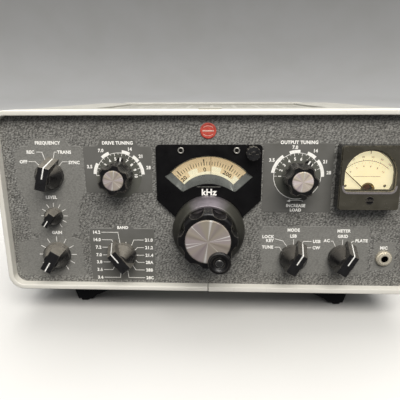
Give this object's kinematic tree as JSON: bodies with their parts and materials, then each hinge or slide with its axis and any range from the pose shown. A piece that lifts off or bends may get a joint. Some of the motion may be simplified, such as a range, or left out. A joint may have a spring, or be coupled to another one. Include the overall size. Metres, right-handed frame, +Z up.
{
  "type": "radio transmitter",
  "caption": "Desktop radio transmitter: grey-white cased set with a recessed grained panel, dial window, lobed tuning knob, bar knobs and a panel meter.",
  "frame": {"origin": "desk level, under the middle of the whole set's bounding box", "axes": "+Z up, front panel faces -Y, +X to the operator's right; the cabinet leans back on its feet by atan(16.45/243) = 3.87 degrees"},
  "size_m": [0.375, 0.3582, 0.1953],
  "materials": {
    "case_paint": "fine textured light grey-white enamel, rubbed at the edges",
    "bezel_paint": "smooth cream enamel with a soft edge",
    "panel_grain": "coarse leather-grain grey finish",
    "black_plastic": "moulded black plastic, lightly worn",
    "black_metal": "satin black enamel",
    "spun_aluminium": "circularly brushed",
    "dark_metal": "dark satin",
    "bright_steel": "plated",
    "brass": "machined",
    "clear": "clear moulding",
    "scale_cream": "printed cream card",
    "dial_white": "backlit printed dial",
    "red_enamel": "vitreous enamel",
    "rubber": "moulded rubber",
    "chassis_metal": "irridited sheet",
    "tube_shield": "drawn aluminium shields",
    "phenolic": "brown phenolic",
    "coil_form": "wound coil forms",
    "lamp_glass": "small warm lamp",
    "copper": "enamelled copper wire"
  },
  "bodies": {
    "cabinet": {"cabinet_shell": "case_paint", "trim_ring": "bezel_paint", "front_panel": "panel_grain", "dial_escutcheon": "black_metal", "panel_screws": "bright_steel", "window_bezel": "dark_metal", "window_glass": "clear", "skirt_ring": "dark_metal", "front_feet": "black_plastic", "foot_pads": "rubber", "badge": "red_enamel", "control_bushings": "bright_steel", "switch_bodies": "phenolic", "dial_lamps": "lamp_glass", "meter_case": "black_plastic", "meter_window": "clear", "meter_scale": "scale_cream", "mic_jack": "bright_steel", "chassis": "chassis_metal", "vfo_can": "chassis_metal", "pa_cage": "chassis_metal", "tubes": "tube_shield", "capacitor_stators": "chassis_metal", "slug_coils": "coil_form", "antenna_jack": "bright_steel", "phono_jacks": "brass", "power_plug": "phenolic", "ground_post": "bright_steel", "hinge_pin": "bright_steel"},
    "lid": {"top_lid": "case_paint", "lid_grille": "case_paint"},
    "tuning": {"tuning_knob": "black_plastic", "tuning_cap": "spun_aluminium", "tuning_shaft": "bright_steel", "spinner_post": "bright_steel"},
    "spinner": {"spinner_knob": "black_plastic"},
    "dial": {"dial_disc": "dial_white", "dial_gear": "brass"},
    "cursor": {"hairline_cursor": "clear"},
    "zero_set": {"zero_set_knob": "black_plastic"},
    "drive": {"drive_knob": "black_plastic", "drive_cap": "spun_aluminium", "drive_shaft": "bright_steel"},
    "slugs": {"slug_rack": "chassis_metal"},
    "output": {"output_knob": "black_plastic", "output_cap": "spun_aluminium", "output_shaft": "bright_steel", "output_rotor": "chassis_metal"},
    "loading": {"loading_lever": "black_plastic", "loading_gear": "brass"},
    "loading_cap": {"loading_rotor": "chassis_metal"},
    "source": {"source_knob": "black_plastic"},
    "calibrate": {"calibrate_knob": "black_plastic"},
    "gain": {"gain_knob": "black_plastic"},
    "band": {"band_knob": "black_plastic"},
    "mode": {"mode_knob": "black_plastic"},
    "meter_switch": {"meter_knob": "black_plastic"},
    "needle": {"meter_needle": "black_metal", "meter_coil": "copper"},
    "needle_zero": {"meter_zero_screw": "black_plastic"}
  },
  "joints": [
    {"name": "lid_open", "type": "hinge", "parent": "cabinet", "child": "lid", "pos_m": [0, 0.15143, 0.17394], "axis": [-1, 0, 0], "range_deg": [0, 100]},
    {"name": "tuning_turn", "type": "hinge", "parent": "cabinet", "child": "tuning", "pos_m": [0, -0.13004, 0.08775], "axis": [0, 0.9977, -0.0675], "range_deg": [-720, 720]},
    {"name": "spinner_spin", "type": "hinge", "parent": "tuning", "child": "spinner", "pos_m": [0.00962, -0.13095, 0.07425], "axis": [0, 0.9977, -0.0675], "continuous": true},
    {"name": "dial_turn", "type": "hinge", "parent": "cabinet", "child": "dial", "pos_m": [0, -0.12863, 0.1085], "axis": [0, 0.9977, -0.0675], "range_deg": [-180, 180]},
    {"name": "zero_turn", "type": "hinge", "parent": "cabinet", "child": "zero_set", "pos_m": [0.03787, -0.12527, 0.15811], "axis": [0, 0.9977, -0.0675], "range_deg": [-36, 36]},
    {"name": "cursor_turn", "type": "hinge", "parent": "cabinet", "child": "cursor", "pos_m": [0, -0.12863, 0.1085], "axis": [0, 0.9977, -0.0675], "range_deg": [-5, 5]},
    {"name": "drive_turn", "type": "hinge", "parent": "cabinet", "child": "drive", "pos_m": [-0.0794, -0.12669, 0.13714], "axis": [0, 0.9977, -0.0675], "range_deg": [-100, 80]},
    {"name": "slug_slide", "type": "slide", "parent": "cabinet", "child": "slugs", "axis": [0, 0.0675, 0.9977], "range_m": [-0.00558, 0.00698]},
    {"name": "output_turn", "type": "hinge", "parent": "cabinet", "child": "output", "pos_m": [0.0771, -0.12669, 0.13714], "axis": [0, 0.9977, -0.0675], "range_deg": [-123, 57]},
    {"name": "loading_turn", "type": "hinge", "parent": "cabinet", "child": "loading", "pos_m": [0.0771, -0.12669, 0.13714], "axis": [0, 0.9977, -0.0675], "range_deg": [-20, 100]},
    {"name": "loading_cap_turn", "type": "hinge", "parent": "cabinet", "child": "loading_cap", "pos_m": [0.0771, -0.12507, 0.16108], "axis": [0, 0.9977, -0.0675], "range_deg": [-100, 20]},
    {"name": "source_turn", "type": "hinge", "parent": "cabinet", "child": "source", "pos_m": [-0.1414, -0.12669, 0.13714], "axis": [0, 0.9977, -0.0675], "range_deg": [-60, 30]},
    {"name": "calibrate_turn", "type": "hinge", "parent": "cabinet", "child": "calibrate", "pos_m": [-0.1414, -0.12924, 0.09952], "axis": [0, 0.9977, -0.0675], "range_deg": [-5, 295]},
    {"name": "gain_turn", "type": "hinge", "parent": "cabinet", "child": "gain", "pos_m": [-0.1414, -0.13179, 0.06191], "axis": [0, 0.9977, -0.0675], "range_deg": [-2, 298]},
    {"name": "band_turn", "type": "hinge", "parent": "cabinet", "child": "band", "pos_m": [-0.0794, -0.13179, 0.06191], "axis": [0, 0.9977, -0.0675], "range_deg": [-128.5, 205.7]},
    {"name": "mode_turn", "type": "hinge", "parent": "cabinet", "child": "mode", "pos_m": [0.0771, -0.13179, 0.06191], "axis": [0, 0.9977, -0.0675], "range_deg": [-90, 30]},
    {"name": "meter_switch_turn", "type": "hinge", "parent": "cabinet", "child": "meter_switch", "pos_m": [0.1211, -0.13179, 0.06191], "axis": [0, 0.9977, -0.0675], "range_deg": [-60, 0]},
    {"name": "needle_swing", "type": "hinge", "parent": "cabinet", "child": "needle", "pos_m": [0.1345, -0.12745, 0.12596], "axis": [0, 0.9977, -0.0675], "range_deg": [0, 96], "stiffness_Nm_per_rad": 0.0005},
    {"name": "needle_zero_turn", "type": "hinge", "parent": "cabinet", "child": "needle_zero", "pos_m": [0.136, -0.12789, 0.11948], "axis": [0, 0.9977, -0.0675], "range_deg": [-45, 45]}
  ],
  "couplings": [
    {"joint": "dial_turn", "follows": "tuning_turn", "ratio": -0.25},
    {"joint": "cursor_turn", "follows": "zero_turn", "ratio": -0.13675},
    {"joint": "drive_turn", "follows": "slug_slide", "rad_per_m": -250},
    {"joint": "loading_cap_turn", "follows": "loading_turn", "ratio": -1}
  ]
}
